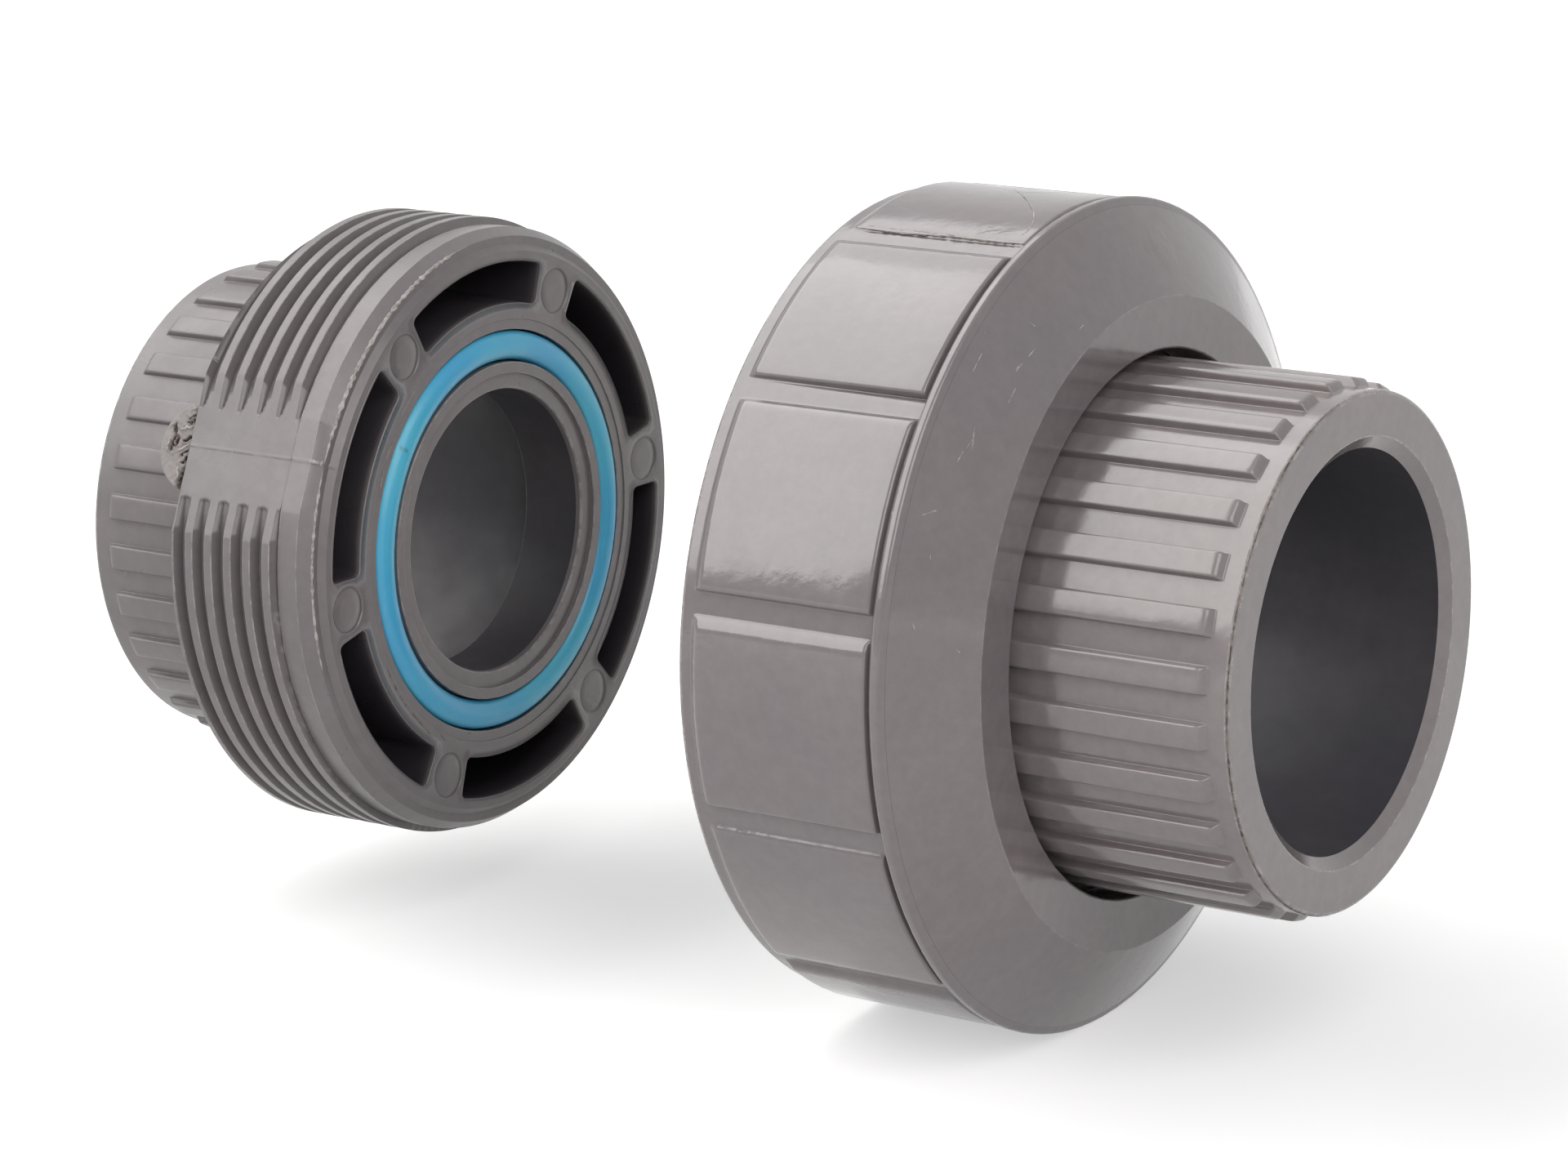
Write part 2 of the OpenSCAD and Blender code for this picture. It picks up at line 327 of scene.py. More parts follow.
class Surface(Nodes):
    """The nodes of a new material, which follow the object's own coordinates."""

    def __init__(self, name):
        super().__init__(bpy.data.materials.new(name))
        self.bsdf = self.tree.nodes["Principled BSDF"]
        self.coord = self.node("ShaderNodeTexCoord").outputs["Object"]

    def stretched(self, turn, scale):
        """The coordinates, turned and scaled."""
        inputs = {"Rotation": turn, "Scale": scale, "Vector": self.coord}
        return self.node("ShaderNodeMapping", inputs).outputs["Vector"]

    def noise(self, per_mm, detail=3.0, rough=0.5, warp=0.0, at=None):
        inputs = {"Scale": per_mm * 1000, "Detail": detail, "Roughness": rough, "Distortion": warp,
                  "Vector": at or self.coord}
        return self.node("ShaderNodeTexNoise", inputs).outputs["Fac"]

    def cells(self, per_mm, at=None):
        """Random cells: the distance from each one's middle, and a random value for each."""
        node = self.node("ShaderNodeTexVoronoi", {"Scale": per_mm * 1000, "Vector": at or self.coord})
        split = self.node("ShaderNodeSeparateColor", {0: node.outputs["Color"]})
        return node.outputs["Distance"], split.outputs[0]

    def mix(self, share, first, second, mode="MIX"):
        """A mix of two colours, each given as three numbers or as a node's output."""
        pair = [c if isinstance(c, bpy.types.NodeSocket) else (*c, 1.0) for c in (first, second)]
        inputs = {0: share, 6: pair[0], 7: pair[1]}
        return self.node("ShaderNodeMix", inputs, data_type="RGBA", blend_type=mode).outputs[2]

    def blotch(self, noise, first, second):
        """Two colours in soft blotches."""
        return self.mix(self.ramp(noise, 0.35, 0.65), first, second)

    def attribute(self, name):
        return self.node("ShaderNodeAttribute", attribute_name=name).outputs["Fac"]

    def shade(self, colour, value):
        """Darkens or lightens a colour by a value near 1."""
        node = self.node("ShaderNodeCombineColor", {0: value, 1: value, 2: value})
        return self.mix(1.0, colour, node.outputs[0], "MULTIPLY")

    def ticks(self, turn, per_mm, keep):
        """Short straight scratches that all run one way: slim cells, of which a share is kept."""
        distance, chance = self.cells(per_mm, self.stretched(turn, (1, 1, 0.055)))
        slim = self.ramp(distance, 0.012, 0.03, 1.0, 0.0)
        return self.math("MULTIPLY", slim, self.math("GREATER_THAN", chance, 1 - keep))

    def bump(self, height, depth_mm, strength=1.0, normal=None):
        inputs = {"Strength": strength, "Distance": depth_mm * 0.001, "Height": height}
        if normal is not None:
            inputs["Normal"] = normal
        return self.node("ShaderNodeBump", inputs).outputs["Normal"]

    def finish(self, colour, rough, normal=None):
        """Sets the shader's colour, roughness and normal, and gives the material."""
        self.link(colour, self.bsdf.inputs["Base Color"])
        self.put(self.bsdf.inputs["Roughness"], rough)
        if normal is not None:
            self.link(normal, self.bsdf.inputs["Normal"])
        return self.owner


def plastic(name, tone, warm, gloss, peel, scuff, pale=0.5, shine=0.5, pebbles=0.0):
    """Moulded grey plastic.

    tone and warm are the two colours that drift over it, gloss its roughness range, peel the depth of its
    orange peel in mm, scuff the share of scratches, pale how pale worn edges get, shine its specular level
    and pebbles the depth in mm of the rough patches."""
    n = Surface(name)
    colour = n.mix(n.ramp(n.noise(0.035, 3, 0.55, 0.4), 0.36, 0.64), tone, warm)
    colour = n.shade(colour, n.ramp(n.noise(0.55, 5, 0.62), 0.3, 0.7, 0.95, 1.05))
    flow = n.noise(0.09, 4, 0.6, 1.2, n.stretched((0, 0, 0), (0.35, 1, 1)))
    colour = n.shade(colour, n.ramp(flow, 0.35, 0.7, 0.965, 1.03))
    edge = n.attribute("edge")
    chip = n.noise(0.42, 6, 0.72)
    worn = n.math("MULTIPLY", n.ramp(edge, 0.25, 1.0), n.ramp(chip, 0.40, 0.66, 0.12, 1.0), clamp=True)
    colour = n.mix(n.math("MULTIPLY", worn, pale), colour, WORN)
    # painted shade where the edge value is negative: inner corners, creases, thread roots, feet of ribs and
    # panels
    colour = n.mix(n.ramp(edge, -0.15, -1.0, 0.0, 0.42), colour, PAINTED_CREASE_SHADE)
    steep = n.ticks((0.35, 0.1, 0.2), 0.30, 0.10)
    level = n.ticks((-0.55, 0.5, 0.9), 0.22, 0.08)
    cross = n.ticks((1.35, -0.3, 0.4), 0.26, 0.06)
    hair = n.math("MULTIPLY", n.math("MAXIMUM", n.math("MAXIMUM", steep, level), cross), scuff)
    distance, chance = n.cells(0.16)
    wide_dot = n.ramp(distance, 0.018, 0.034, 1.0, 0.0)
    small_dot = n.ramp(distance, 0.014, 0.03, 1.0, 0.0)
    speck = n.math("MULTIPLY", wide_dot, n.math("GREATER_THAN", chance, 0.88))
    pit = n.math("MULTIPLY", small_dot, n.math("LESS_THAN", chance, 0.09))
    colour = n.mix(n.math("MULTIPLY", hair, 0.55), colour, SCRATCHED)
    colour = n.mix(n.math("MULTIPLY", speck, 0.4), colour, SPECKLED)
    colour = n.mix(n.math("MULTIPLY", pit, 0.6), colour, PITTED)
    # painted shade in hollows: the pockets, the seal groove, the nut's hole and its relief
    colour = n.mix(n.ramp(n.attribute("hollow_shade"), 0.0, 1.0), colour, PAINTED_HOLLOW_SHADE, "MULTIPLY")
    rough = n.ramp(n.noise(0.16, 4, 0.6), 0.3, 0.7, gloss[0], gloss[1])
    rough = n.math("ADD", rough, n.math("MULTIPLY", n.math("ADD", worn, hair), 0.22), clamp=True)
    n.bsdf.inputs["IOR"].default_value = 1.53
    n.bsdf.inputs["Specular IOR Level"].default_value = shine
    skin = n.bump(n.noise(0.75, 3, 0.55), peel)
    skin = n.bump(n.noise(0.17, 2, 0.5), 2.8 * peel, 1.0, skin)
    if pebbles:
        patch = n.ramp(n.noise(0.075, 2, 0.5), 0.58, 0.66)
        skin = n.bump(n.math("MULTIPLY", n.noise(1.0, 2, 0.5), patch), pebbles, 1.0, skin)
    skin = n.bump(n.noise(5.0, 2, 0.6), 0.002, 1.0, skin)
    skin = n.bump(n.math("SUBTRACT", n.math("MULTIPLY", chip, worn), hair), 0.05, 0.6, skin)
    return n.finish(colour, rough, skin)


def rubber():
    """The seal's blue rubber, with a pale bloom and a dark nick."""
    n = Surface("seal_rubber")
    colour = n.blotch(n.noise(0.06, 3), (0.066, 0.42, 0.70), (0.09, 0.50, 0.69))
    bloom = n.ramp(n.noise(0.5, 5, 0.7), 0.55, 0.75, 0.0, 0.22)
    colour = n.mix(bloom, colour, (0.24, 0.56, 0.70))
    colour = n.mix(n.ramp(n.attribute("edge"), 0.3, 1.0, 0.0, 0.4), colour, (0.02, 0.04, 0.05))
    rough = n.ramp(n.noise(0.3, 4), 0.3, 0.7, 0.28, 0.4)
    skin = n.bump(n.noise(1.2, 4, 0.6), 0.02, 0.7)
    return n.finish(colour, rough, n.bump(n.noise(8.0, 2), 0.004, 0.6, skin))


def torn():
    """The gate pad: scuffed grey, dark torn plastic where edge is negative and pale where positive."""
    n = Surface("torn_gate")
    rough = n.noise(0.9, 7, 0.75)
    edge = n.attribute("edge")
    colour = n.blotch(n.noise(0.6, 5, 0.7), (0.225, 0.205, 0.20), (0.275, 0.25, 0.24))
    rent = n.mix(n.ramp(rough, 0.35, 0.62), (0.022, 0.016, 0.014), (0.12, 0.085, 0.07))
    colour = n.mix(n.ramp(edge, -0.2, -0.7), colour, rent)
    colour = n.mix(n.ramp(edge, 0.3, 0.9, 0.0, 0.8), colour, (0.50, 0.46, 0.43))
    return n.finish(colour, 0.5, n.bump(rough, 0.12))


def scar():
    """Pale scratched plastic."""
    n = Surface("pale_scratch")
    return n.finish(n.blotch(n.noise(1.5, 4), (0.22, 0.20, 0.195), (0.42, 0.395, 0.375)), 0.5)


def stain():
    """Brown dirt in a thin flash."""
    n = Surface("brown_flash")
    patches = n.ramp(n.noise(1.1, 5, 0.7), 0.4, 0.6)
    return n.finish(n.mix(patches, (0.045, 0.032, 0.026), (0.20, 0.17, 0.15)), 0.6)


matte = plastic("threaded_plastic", (0.163, 0.148, 0.151), (0.177, 0.158, 0.158), gloss=(0.27, 0.38),
                peel=0.022, scuff=0.5)
nut_skin = plastic("nut_plastic", (0.168, 0.149, 0.155), (0.182, 0.157, 0.160), gloss=(0.09, 0.16),
                   peel=0.019, scuff=1.0, shine=0.7, pebbles=0.05)
tail_skin = plastic("plain_plastic", (0.200, 0.177, 0.180), (0.216, 0.188, 0.186), gloss=(0.11, 0.18),
                    peel=0.017, scuff=0.7, shine=0.65)
# the bores' near-black tones are painted shade for their dimly lit insides
bore_shade_skin = plastic("bore_plastic", (0.048, 0.046, 0.052), (0.058, 0.054, 0.058), gloss=(0.34, 0.46),
                    peel=0.02, scuff=0.3, pale=0.3, shine=0.2)
tail_bore_shade_skin = plastic("plain_bore_plastic", (0.065, 0.063, 0.072), (0.078, 0.073, 0.079),
                         gloss=(0.3, 0.4), peel=0.02, scuff=0.3, pale=0.3, shine=0.35)
seal_skin = rubber()
torn_skin = torn()
scar_skin = scar()
stain_skin = stain()


# parts of both halves

def rib_angles(turn):
    """Angles that fall on the edges of 30 ribs, and how much of a rib's height each one has."""
    side = [(-1.5, 1), (-0.75, 0.99), (-0.46, 0.96), (-0.3, 0.9), (-0.18, 0.78), (-0.09, 0.58),
            (-0.03, 0.34), (0.02, 0.12), (0.06, 0.03), (0.14, 0), (0.3, 0), (0.8, 0), (1.8, 0)]
    side = [(RIB_HALF + out, share) for out, share in side]
    rib = [(-out, share) for out, share in reversed(side)] + [(0, 1)] + side
    deg = np.concatenate([[turn + 12 * i + out for out, share in rib] for i in range(30)])
    return deg, np.tile([share for out, share in rib], 30)


def ribbed_hub(shell, tip, root, way, height, turn):
    """The outside of a hub from its mouth to where it meets the body, with raised grip ribs."""
    deg, share = rib_angles(turn)
    end = [(tip + way * MOUTH_DEPTH, SOCKET_R), (tip, SOCKET_R + MOUTH_FLARE, 0.25), (tip, HUB_R, 0.5),
           (tip + way * 2.4, HUB_R)]
    slope = [(2.6, 0), (2.68, 0.02), (2.76, 0.1), (2.92, 0.34), (3.1, 0.6), (3.26, 0.79), (3.4, 0.9),
             (3.56, 0.96), (3.8, 0.99), (4.3, 1)]
    span = abs(root - tip)
    slope += [(4.3 + (span - 4.3) * k / 6, 1) for k in range(1, 7)]
    slope = slope[::way]
    end = rounded(end[::way])
    x = np.array([[tip + way * inward] for inward, rise in slope])
    lift = np.array([[rise] for inward, rise in slope]) * share[None, :]
    # pale worn rib tops, and painted shade along the feet of the ribs
    edge = 0.5 * hump(lift, 0.9, 0.1) - 0.9 * hump(lift, 0.06, 0.07) * (share[None, :] < 0.5)
    blocks = [(end[:, :1], end[:, 1:2], end[:, 2:3]), (x, HUB_R + height * lift, edge)]
    shell.grid(*stacked(blocks[::way], deg))


def screw_grid(shell, outline, start, stop, deg, way, land=None):
    """One pitch of a thread outline, repeated along the helix and trimmed to start..stop.

    way is 1 where rows run towards +X and -1 where they run back; land may change radius and edge."""
    count = int((stop - start) / PITCH) + 4
    base = math.floor((start - FIRST) / PITCH) - 2
    repeated = [outline[:-1, 0] + PITCH * k for k in range(count)]
    offset = np.concatenate(repeated + [[outline[0, 0] + PITCH * count]])
    radius = np.concatenate([outline[:-1, 1]] * count + [[outline[0, 1]]])
    edge = np.concatenate([outline[:-1, 2]] * count + [[outline[0, 2]]])
    x = FIRST + PITCH * base + offset[:, None] + PITCH * deg[None, :] / 360
    r = np.array(np.broadcast_to(radius[:, None], x.shape))
    e = np.broadcast_to(edge[:, None], x.shape)
    if land is not None:
        r, e = land(x, r, e, deg[None, :])
    for j in range(x.shape[1]):
        for limit, out in ((start, x[:, j] < start), (stop, x[:, j] > stop)):
            if out.any():
                r[out, j] = np.interp(limit, x[:, j], r[:, j])
    keep = ((x > start) & (x < stop)).any(axis=1)
    first = max(np.argmax(keep) - 1, 0)
    last = len(keep) - np.argmax(keep[::-1]) + 1
    x = np.clip(x, start, stop)
    shell.grid(x[first:last][::way], r[first:last][::way], deg[None, :], e[first:last][::way], closed=False)


# threaded half

def land_height(deg, side):
    """Radius of the flat, far out where there is none, and the angle from the flat's middle."""
    off = (deg - PARTING - LEAN - side + 180) % 360 - 180
    return np.where(np.abs(off) < 30, FLAT / np.cos(np.radians(np.clip(off, -30, 30))), 99.0), off


def closed_land(x, r, e, deg):
    """Thread radius with both flats: grooves end round on one side and run out to a point on the other."""
    r = np.array(r)
    e = np.array(e)
    wide = 0.83
    u = (x - FIRST - PITCH * deg / 360) / PITCH
    u = (u - np.floor(u) - 0.5) * PITCH
    bow = wide - np.sqrt(np.clip(wide ** 2 - np.clip(u, -wide, wide) ** 2, 0, None))
    for side in (0.0, 180.0):
        top, off = land_height(deg, side)
        top = top + 0 * x
        off = off + 0 * x
        on = np.abs(off) < 30
        open_end = smooth_step(np.radians(off) * FLAT, 5.75 + bow, 5.95 + bow)
        point = 2.3 * wide * np.clip((-off - 6.6) / 7.0, 0, 1)
        taper = (1 - smooth_step(u + 1.1 * wide - point, -0.14, 0.1)) * smooth_step(-off, 6.6, 7.0)
        share = np.where(off > 0, open_end, np.where(off < -13.6, 1.0, taper))
        cut = r > top + 0.02
        rim = hump(np.abs(off), np.degrees(np.arccos(FLAT / np.maximum(r, FLAT))), 0.6) * (r > 40.2)
        e = np.where(on & (cut | (share < 0.5)), 0.0, e) + 0.4 * rim * on
        r = np.where(on, top - share * (top - np.minimum(r, top)), r)
    # the flash on the parting line, and a line of painted shade beside it, under the ridge
    seam = (deg - PARTING + 180) % 360 - 180
    r = r + 0.08 * bell(seam, 0, 0.17) * (0.7 + 0.5 * wobble(4, x * 1.3))
    e = e - 0.8 * bell(seam, 0.27, 0.2) * (0.6 + 0.6 * wobble(5, x * 2.1))
    r = r + 0.012 * wobble(9, x * 0.35, deg * 0.09) * (np.abs(seam) < 9)
    return r, e


def thread_end(x, deg):
    """Radius of the thread where the plane at x cuts it."""
    u = (x - FIRST - PITCH * deg / 360 + PITCH / 2) % PITCH - PITCH / 2
    run = (CREST_R - ROOT_R) * FLANK
    r = np.interp(np.abs(u), [CREST_W / 2, CREST_W / 2 + run], [CREST_R, ROOT_R])[None, :]
    return closed_land(x + 0 * r, r, 0 * r, deg[None, :])[0][0]


def angles(*stretches):
    """Angles in stretches of (start, stop, step)."""
    return np.concatenate([np.arange(*stretch) for stretch in stretches])


def thread_band(shell):
    """The thread and its flats, on a grid that follows the helix, and the back of the band."""
    run = (CREST_R - ROOT_R) * FLANK
    half = CREST_W / 2
    outline = rounded([(-PITCH / 2, ROOT_R), (-half - run, ROOT_R, 0.14), (-half, CREST_R, 0.13),
                       (half, CREST_R, 0.13), (half + run, ROOT_R, 0.14), (PITCH / 2, ROOT_R)],
                      steps=2, hold=0.05)
    deg = angles((-24, -2, 1.0), (-2, 139, 2.0), (139, 178.01, 0.25), (180, 316, 2.0), (316, 336.1, 1.0))
    screw_grid(shell, outline, BAND_BACK, BAND_FRONT, deg, 1, closed_land)
    ring = angles((-24, 136, 2.0), (136, 178, 0.5), (178, 336, 2.0))
    rows = np.array([HUB_R - 0.1, HUB_R + 1.5, 36.0, 38.6])[:, None] + 0 * ring
    rows = np.concatenate([rows, thread_end(BAND_BACK, ring)[None, :]])
    shell.grid(np.full((5, 1), BAND_BACK), rows, ring[None, :])


def collar(shell):
    """The collar, its bevels and the outer part of the face; gives the angles of its points."""
    front = rounded([(BAND_FRONT, ROOT_R - 0.4), (BAND_FRONT, COLLAR_R, 0.22),
                     (SEAT - 2.55, COLLAR_R, 0.12), (SEAT - 0.85, 38.5, 0.14), (SEAT - 0.85, 37.5, 0.1),
                     (SEAT, 36.65, 0.2), (SEAT, FACE_OUT)])
    ring = angles((0, 136, 1.0), (136, 178, 0.3), (178, 360, 1.0))
    x, r, e = (np.repeat(front[:, k:k + 1], len(ring), axis=1) for k in range(3))
    for side in (0.0, 180.0):
        top = land_height(ring, side)[0][None, :]
        cut = (r > top) & (x < SEAT - 0.9)
        r = np.where(cut, top + 0 * r, r)
        e = np.where(cut & (x < SEAT - 2.6), 0.0, e)
    seam = (ring - PARTING + 180) % 360 - 180
    ridge = bell(seam, 0, 0.3)[None, :] * (x > BAND_FRONT + 0.1) * (x < SEAT - 0.2)
    r = r + ridge * np.where(x > SEAT - 2.4, 0.22, 0.06)
    # the collar starts at the thread where that is lower, and a wall covers what stands higher
    meet = thread_end(BAND_FRONT, ring)
    r[0] = np.minimum(meet, r[1])
    wall = np.stack([np.maximum(meet, 39.32), 0 * ring + 39.3])
    shell.grid(np.full((2, 1), BAND_FRONT), wall, ring[None, :])
    shell.grid(x, r, ring[None, :], np.where(x > SEAT - 1.2, 0.35 * e, e))
    return ring


def threaded_half():
    """The body of the threaded half, and its passage, pipe stop and socket as a piece whose darker colour is
    painted shade.
    """
    shell = Shell()
    ribbed_hub(shell, BACK, BAND_BACK, 1, THREADED_RIB_H, THREADED_RIB_TURN)
    thread_band(shell)
    face_with_pockets(shell, collar(shell))
    deg = np.arange(0, 360, 1.25)
    lip = rounded([(SEAT, FACE_IN), (SEAT, 27.8, 0.06), (SEAT - 0.2, 27.8, 0.05), (SEAT - 0.2, 26.4, 0.12),
                   (6.5, 26.4, 0.2), (6.5, 22.2, 0.2), (SEAT, 22.2, 0.14), (SEAT, 20.7, 0.12),
                   (SEAT - 0.6, 20.7, 0.1), (SEAT - 0.6, PASSAGE_R, 0.25), (SEAT - 1.5, PASSAGE_R)])
    # painted shade in the seal groove
    shell.turned(lip, deg, 0.8 * ((lip[:, :1] < 8) & (lip[:, 1:2] > 22)))
    shell.make("threaded_body", matte, "threaded_half", ["threaded_end"])
    bore = Shell()
    bore.turned(rounded([(SEAT - 1.5, PASSAGE_R), (4.6, PASSAGE_R), (STOP, PASSAGE_R, 0.15),
                         (STOP, SOCKET_R, 0.3), (-12, SOCKET_R), (-24, SOCKET_R),
                         (BACK + MOUTH_DEPTH, SOCKET_R)]), deg)
    bore.make("threaded_bore", bore_shade_skin, "threaded_half")


def pocket_loop(mid, inset, corner):
    """A rounded sector between two radii, as angles and radii."""
    half = (60 - BRIDGE) / 2
    points = []
    for r, sign in ((POCKET_OUT - inset, 1), (POCKET_IN + inset, -1)):
        reach = half - math.degrees(inset / r)
        bend = math.degrees(corner / r)
        side = []
        for turn in np.linspace(0, math.pi / 2, 5):
            deg = -sign * reach + sign * bend * (1 - math.cos(turn))
            side.append((deg, r - sign * corner * (1 - math.sin(turn))))
        flat = [(deg, r) for deg in np.linspace(-sign * (reach - bend), sign * (reach - bend), 17)[1:-1]]
        points += side + flat + [(-deg, radius) for deg, radius in reversed(side)]
    return np.array([(mid + deg, r) for deg, r in points]).T


def inside(point, loop):
    """Whether a point lies in a closed loop, both in Y and Z."""
    y, z = loop[:, 0], loop[:, 1]
    next_y, next_z = np.roll(y, -1), np.roll(z, -1)
    cross = (z > point[1]) != (next_z > point[1])
    with np.errstate(divide="ignore", invalid="ignore"):
        at = (next_y - y) * (point[1] - z) / (next_z - z) + y
    return bool((cross & (point[0] < at)).sum() % 2)


def ejector_mark(shell, deg, seed):
    """A sunk round mark with a fine ridge; gives its outer loop."""
    middle = math.radians(deg)
    shift = np.random.RandomState(seed).uniform(-0.2, 0.2, 2)
    y = EJECTOR_AT * math.cos(middle) + shift[0]
    z = EJECTOR_AT * math.sin(middle) + shift[1]
    turn = np.radians(np.arange(0, 360, 7.5))
    # the edge values give a pale worn rim and painted shade in the sunk ring
    rings = [(0.12, SEAT, 0.0), (0.05, SEAT - 0.02, 0.6), (0.0, SEAT - 0.14, -0.9),
             (-0.1, SEAT - 0.22, -1.0), (-0.2, SEAT - 0.22, -1.0), (-0.34, SEAT - 0.14, -0.2),
             (-1.6, SEAT - 0.13, 0.0)]
    loops = []
    for out, x, edge in rings:
        r = EJECTOR_R + out
        loops.append(np.stack([np.full(len(turn), x), y + r * np.cos(turn), z + r * np.sin(turn)], -1))
    shell.loops(loops, [edge for out, x, edge in rings])
    return loops[0]


def face_with_pockets(shell, outer_deg):
    """The face with its six pockets, and an ejector mark on the bridge before each of them."""
    # each level: inset, x, edge value, and a share of painted shade that darkens the pocket towards its
    # floor
    levels = [(-0.16, SEAT, 0.0, 0.0), (-0.09, SEAT - 0.02, 0.35, 0.0), (-0.03, SEAT - 0.08, 0.35, 0.05),
              (0.0, SEAT - 0.18, 0.0, 0.3), (0.03, SEAT - 0.9, 0.0, 0.75), (0.08, SEAT - 2.4, 0.0, 1.0),
              (0.3, SEAT - 12, 0.0, 1.0), (0.5, SEAT - 14.6, 0.0, 1.0), (1.0, SEAT - 15.0, 0.0, 1.0)]
    holes = []
    for i in range(6):
        mid = POCKET_TURN + 30 + 60 * i
        loops = []
        for inset, x, edge, hollow_shade in levels:
            deg, r = pocket_loop(mid, inset, 0.85 - min(inset, 0.6) * 0.4)
            loops.append(polar(x, deg, r)[::-1])
        shell.loops(loops, [level[2] for level in levels], [level[3] for level in levels])
        holes.append(loops[0])
        holes.append(ejector_mark(shell, mid - 30, 40 + i))
    # the flat face is what lies between its two rims and outside all holes
    rims = [polar(SEAT, outer_deg, FACE_OUT), polar(SEAT, np.arange(0, 360, 1.25), FACE_IN)]
    verts = []
    edges = []
    for loop in rims + holes:
        start, count = len(verts), len(loop)
        verts += [(float(point[1]), float(point[2])) for point in loop]
        edges += [(start + k, start + (k + 1) % count) for k in range(count)]
    flat_verts, _, flat_faces, _, _, _ = delaunay_2d_cdt(verts, edges, [], 0, 1e-5)
    points = np.array([(SEAT, vert[0], vert[1]) for vert in flat_verts])
    faces = []
    for face in flat_faces:
        middle = points[list(face)].mean(axis=0)[1:]
        if not FACE_IN <= math.hypot(*middle) <= FACE_OUT:
            continue
        close = [hole[:, 1:] for hole in holes if math.hypot(*(hole[:, 1:].mean(axis=0) - middle)) < 16]
        if any(inside(middle, hole) for hole in close):
            continue
        first, second = points[face[1]] - points[face[0]], points[face[2]] - points[face[0]]
        faces.append(tuple(face) if first[1] * second[2] > first[2] * second[1] else tuple(reversed(face)))
    shell.add(points, faces, 0.0)


def seal():
    """The seal ring, with a small nick on its outer side."""
    shell = Shell()
    deg = np.arange(0, 360, 1.5)
    turn = np.radians(np.arange(0, 360, 10.0))
    x = SEAL_AT + SEAL_R * np.cos(turn)[:, None] + 0 * deg
    r = SEAL_MID_R + SEAL_R * np.sin(turn)[:, None] + 0 * deg
    nick = bell(deg, 144, 0.6)[None, :] * ((np.cos(turn) > 0.6) & (np.sin(turn) > 0.3))[:, None]
    shell.grid(x[::-1], (r - 0.25 * nick)[::-1], deg[None, :], nick[::-1])
    # faces from the last row round to the first
    count = len(deg)
    last = (len(turn) - 1) * count
    shell.faces += [(last + j, last + (j + 1) % count, (j + 1) % count, j) for j in range(count)]
    shell.make("seal_ring", seal_skin, "threaded_half", ["o_ring"], weld=0)


# plain half

def plain_half():
    """The body of the plain half, and its socket, pipe stop and passage as a piece whose darker colour is
    painted shade.
    """
    shell = Shell()
    ribbed_hub(shell, TIP, FLANGE_BACK, -1, PLAIN_RIB_H, PLAIN_RIB_TURN)
    deg = np.arange(0, 360, 1.5)
    flange = rounded([(FLANGE, PASSAGE_R, 0.3), (FLANGE, FLANGE_R, 0.5), (FLANGE_BACK, FLANGE_R, 0.5),
                      (FLANGE_BACK, HUB_R, 0.0), (FLANGE + 7.3, HUB_R - 0.1)])
    shell.turned(np.vstack([[FLANGE + 0.4, PASSAGE_R, 0], flange]), deg)
    bore = Shell()
    bore.turned(rounded([(TIP - MOUTH_DEPTH, SOCKET_R), (TIP - 12, SOCKET_R), (TIP - 24, SOCKET_R),
                         (TIP - 33, SOCKET_R, 0.3), (TIP - 33, PASSAGE_R, 0.15), (TIP - 37, PASSAGE_R),
                         (FLANGE + 0.4, PASSAGE_R)]), deg)
    bore.make("plain_bore", tail_bore_shade_skin, "plain_half")
    shell.make("plain_body", tail_skin, "plain_half", ["plain_end"])


# nut

def thinning(deg):
    """The share of its height that the top panel loses towards its torn lower edge."""
    return 0.62 * np.clip((deg - 96) / 11.6, 0, 1) * (deg < 109.2)


def inside_thread(outline, x, deg):
    """Radius of the nut's thread at x, from the outline of one pitch."""
    u = (x - FIRST - PITCH * deg / 360 + PITCH / 2) % PITCH - PITCH / 2
    return np.interp(u, outline[:, 0], outline[:, 1])


